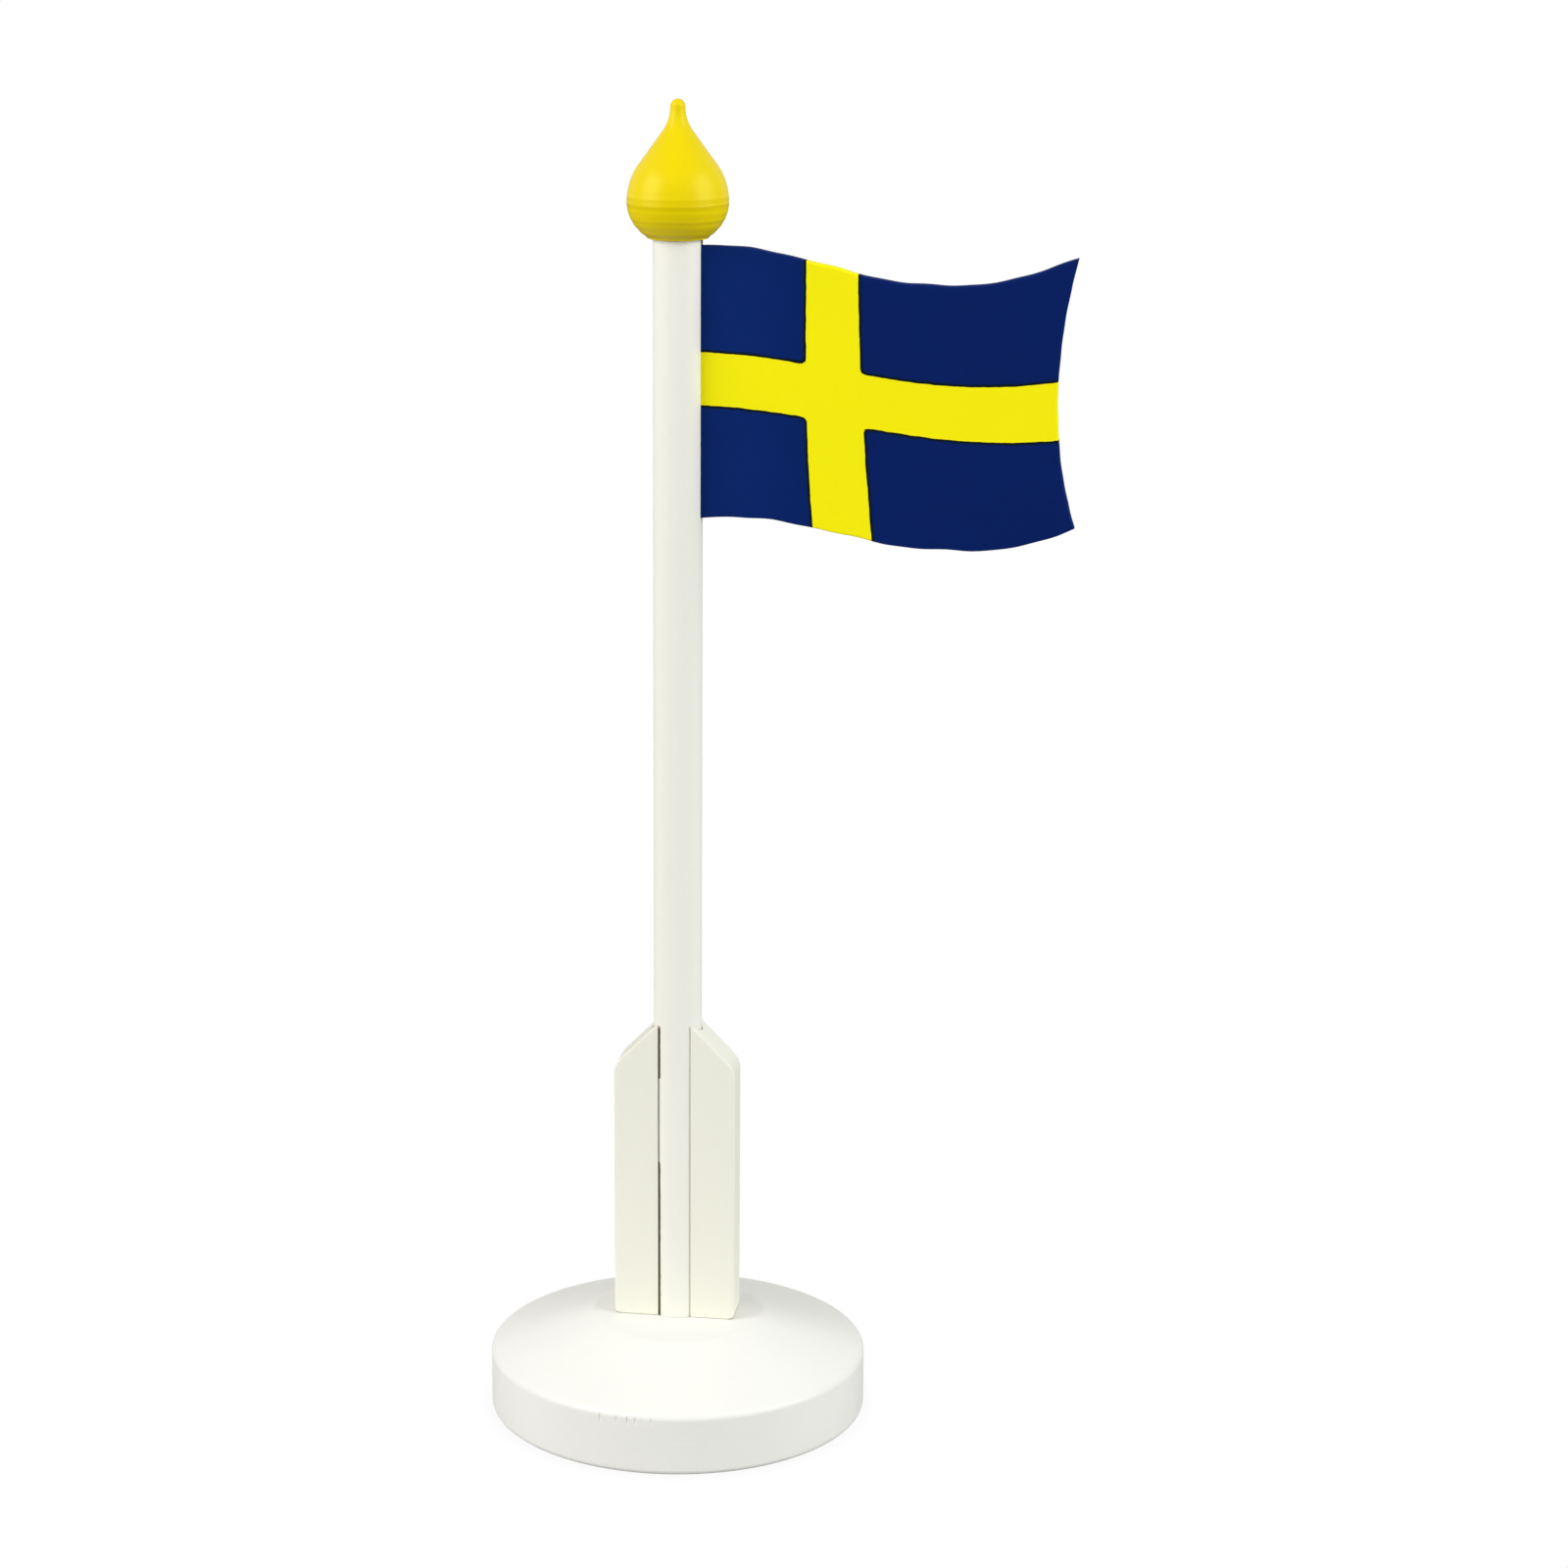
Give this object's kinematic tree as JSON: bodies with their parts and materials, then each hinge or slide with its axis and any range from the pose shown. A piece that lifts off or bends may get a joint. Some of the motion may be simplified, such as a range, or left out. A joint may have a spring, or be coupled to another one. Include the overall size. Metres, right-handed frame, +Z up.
{
  "type": "desk flag stand",
  "caption": "Wooden table flag: a turned round base with cheeks that hold the foot of a dowel pole, a drop finial on top, and a rigid wavy flag plate let into the pole.",
  "frame": {"origin": "centre of the base's flat underside, on the pole's axis; the object's box reaches further towards +X because the flag flies that way", "axes": "+Z up along the pole; the flag and both cheeks lie in the XZ plane, the flag flies towards +X, and the front is -Y"},
  "size_m": [0.1432, 0.095, 0.3292],
  "materials": {
    "ivory_paint": "wood under opaque ivory-white paint, satin, with eased edges",
    "yellow_gloss_paint": "turned wood under glossy yellow enamel, faint turning rings near the foot",
    "flag_paint": "thin plywood, yellow ground with dark blue fields painted over it, satin",
    "bare_wood": "unfinished beech",
    "zinc_screw": "bright zinc plated"
  },
  "bodies": {
    "stand": {"base": "ivory_paint", "cheek_left": "ivory_paint", "cheek_right": "ivory_paint", "cheek_screws": "zinc_screw"},
    "mast": {"pole": "ivory_paint", "flag_plate": "flag_paint", "finial": "yellow_gloss_paint", "finial_pin": "bare_wood"}
  },
  "joints": [
    {"name": "pole_lift", "type": "slide", "parent": "stand", "child": "mast", "axis": [0, 0, 1], "range_m": [0, 0.09]}
  ]
}
